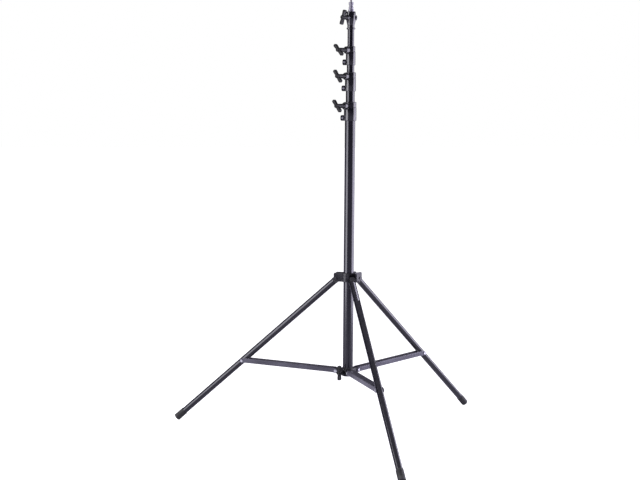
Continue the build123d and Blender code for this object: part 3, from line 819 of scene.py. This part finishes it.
# The thread's ridge is wound as a helix, its root a little inside the core.
ridge = bmesh.new()
ridge_foot = barrel_top + 0.001
ridge_root = thread_radius - thread_depth * 1.1
ridge_half = thread_pitch * 0.42
steps_a_turn = 32
corners = [
    ridge.verts.new((ridge_root, 0, ridge_foot - ridge_half)),
    ridge.verts.new((thread_radius, 0, ridge_foot)),
    ridge.verts.new((ridge_root, 0, ridge_foot + ridge_half)),
]
ridge_face = ridge.faces.new(corners)
turns = int((stud_high.z - ridge_foot - thread_pitch) / thread_pitch)
ridge_steps = turns * steps_a_turn
bmesh.ops.spin(
    ridge, geom=[ridge_face], cent=(0, 0, 0), axis=(0, 0, 1),
    dvec=(0, 0, thread_pitch * turns / ridge_steps), angle=math.tau * turns, steps=ridge_steps,
)
bmesh.ops.remove_doubles(ridge, verts=ridge.verts, dist=weld_distance / 10)
bmesh.ops.recalc_face_normals(ridge, faces=ridge.faces)
settle(ridge, "stud_thread", "riser_3", stud_plate, place=column_place)

# ---- Room, lights and camera ---------------------------------------------
# A plain pale floor, two large softboxes, one on each side of the stand, and
# a long lens that looks slightly down from about chest height.
white = (1.0, 1.0, 1.0)
floor_half = 30.0
floor_drop = 0.0002
floor_bounce = (0.27, 0.255, 0.34)
floor_data = bpy.data.meshes.new("floor")
floor_mesh = bmesh.new()
bmesh.ops.create_grid(
    floor_mesh, x_segments=1, y_segments=1, size=floor_half,
    matrix=Matrix.Translation((0, 0, -floor_drop)),
)
floor_mesh.to_mesh(floor_data)
floor_mesh.free()
floor = bpy.data.objects.new("floor", floor_data)
bpy.context.scene.collection.objects.link(floor)
floor_paint = bpy.data.materials.new("pale_floor")
floor_paint.use_nodes = True
floor_nodes = floor_paint.node_tree
floor_surface = floor_nodes.nodes["Principled BSDF"]
floor_surface.inputs["Base Color"].default_value = (0.55, 0.55, 0.56, 1)
floor_surface.inputs["Roughness"].default_value = 0.9
floor_surface.inputs["Specular IOR Level"].default_value = 0.0
floor_surface.inputs["Emission Strength"].default_value = 1.0
seen = floor_nodes.nodes.new("ShaderNodeLightPath").outputs["Is Camera Ray"]
floor_glow = blend_colour(floor_nodes, seen, floor_bounce, white)
floor_nodes.links.new(floor_glow, floor_surface.inputs["Emission Color"])
floor_data.materials.append(floor_paint)

# The room is white to the camera; to the stand it is a dim studio under a
# paler ceiling, so that the black tubes keep dark, hard-edged bands.
room_dim = (0.03, 0.03, 0.036)
ceiling_glow = (0.45, 0.43, 0.52)
world = bpy.data.worlds.new("studio")
world.use_nodes = True
room = world.node_tree
direction = room.nodes.new("ShaderNodeSeparateXYZ")
room.links.new(room.nodes.new("ShaderNodeTexCoord").outputs["Generated"], direction.inputs["Vector"])
ceiling = ramp(room, direction.outputs["Z"], 0.3, 0.9)
dim = blend_colour(room, ceiling, room_dim, ceiling_glow)
straight = room.nodes.new("ShaderNodeLightPath").outputs["Is Camera Ray"]
room.links.new(blend_colour(room, straight, dim, white), room.nodes["Background"].inputs["Color"])
bpy.context.scene.world = world
bpy.context.scene.view_settings.view_transform = "Standard"


def softbox(name, azimuth, distance, height, size, radiance, colour):
    """A rectangular lamp that faces the stand from an azimuth, in degrees."""
    data = bpy.data.lights.new(name, "AREA")
    data.shape = "RECTANGLE"
    data.size, data.size_y = size
    data.energy = radiance * math.pi * size[0] * size[1]
    data.color = colour
    lamp = bpy.data.objects.new(name, data)
    turn = math.radians(azimuth)
    target = Vector((column_x, column_y, height))
    lamp.location = target + Vector((math.sin(turn), -math.cos(turn), 0)) * distance
    lamp.rotation_euler = (target - lamp.location).to_track_quat("-Z", "Y").to_euler()
    bpy.context.scene.collection.objects.link(lamp)


softbox(
    "left_box", azimuth=-77.0, distance=3.0, height=1.0, size=(2.3, 3.0),
    radiance=5.5, colour=(0.95, 0.94, 1.0),
)
softbox(
    "right_wall", azimuth=83.0, distance=2.6, height=0.7, size=(3.1, 2.4),
    radiance=6.0, colour=(0.86, 0.83, 1.0),
)

camera_distance = 4.4184
camera_height = 1.1243
camera_azimuth = math.radians(-15.28)
camera_pan = math.radians(1.2787)
camera_tilt = math.radians(5.8838)
camera_roll = math.radians(0.4043)
lens_length = 73.305
sensor_width = 36.0

camera_data = bpy.data.cameras.new("camera")
camera_data.sensor_width = sensor_width
camera_data.lens = lens_length
camera = bpy.data.objects.new("camera", camera_data)
stand_back = Vector((math.sin(camera_azimuth), -math.cos(camera_azimuth), 0)) * camera_distance
heading = camera_azimuth + camera_pan
forward = Vector((
    -math.sin(heading) * math.cos(camera_tilt),
    math.cos(heading) * math.cos(camera_tilt),
    -math.sin(camera_tilt),
))
level_right = Vector((math.cos(heading), math.sin(heading), 0))
level_up = level_right.cross(forward)
right = level_right * math.cos(camera_roll) + level_up * math.sin(camera_roll)
up = level_up * math.cos(camera_roll) - level_right * math.sin(camera_roll)
camera.matrix_world = (
    Matrix.Translation(Vector((column_x, column_y, camera_height)) + stand_back)
    @ Matrix((right, up, -forward)).transposed().to_4x4()
)
bpy.context.scene.collection.objects.link(camera)
bpy.context.scene.camera = camera
